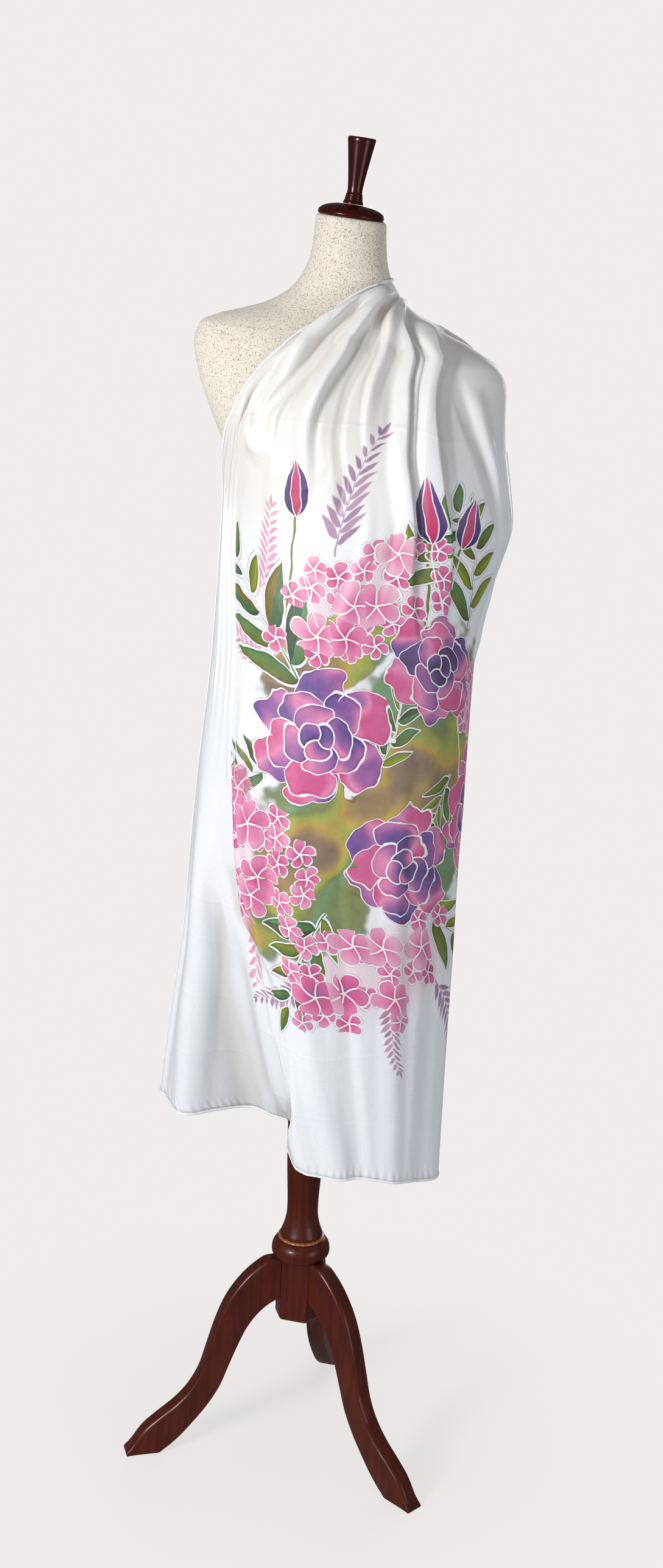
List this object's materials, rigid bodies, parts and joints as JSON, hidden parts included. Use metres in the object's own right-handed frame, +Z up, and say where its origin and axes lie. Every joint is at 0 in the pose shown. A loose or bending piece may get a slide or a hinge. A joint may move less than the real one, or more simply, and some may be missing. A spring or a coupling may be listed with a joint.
{
  "type": "silk scarf on a dress form",
  "caption": "Long white silk scarf with a painted flower spray, draped over one shoulder of a linen dress form on a turned wooden tripod stand.",
  "frame": {"origin": "on the floor, under the middle of the whole outline", "axes": "+Z up, -Y towards the viewer of the scarf's front, +X towards the shoulder that carries the scarf, all as seen from the front"},
  "size_m": [0.4492, 0.4014, 1.7749],
  "materials": {
    "silk": "white satin-weave silk with a soft sheen, hand painted in pinks, purples and greens",
    "linen": "plain matt linen with fine dark flecks",
    "cap_wood": "dark red varnish, glossy",
    "stand_wood": "red-brown varnish, glossy",
    "bead_wood": "light brown varnish"
  },
  "bodies": {
    "root": {"scarf_front": "silk", "scarf_back": "silk", "torso": "linen", "neck_cap": "cap_wood", "finial": "cap_wood", "column": "stand_wood", "bead_ring": "bead_wood", "collar": "stand_wood", "hub": "stand_wood", "leg_left": "stand_wood", "leg_right": "stand_wood", "leg_back": "stand_wood"}
  },
  "joints": []
}
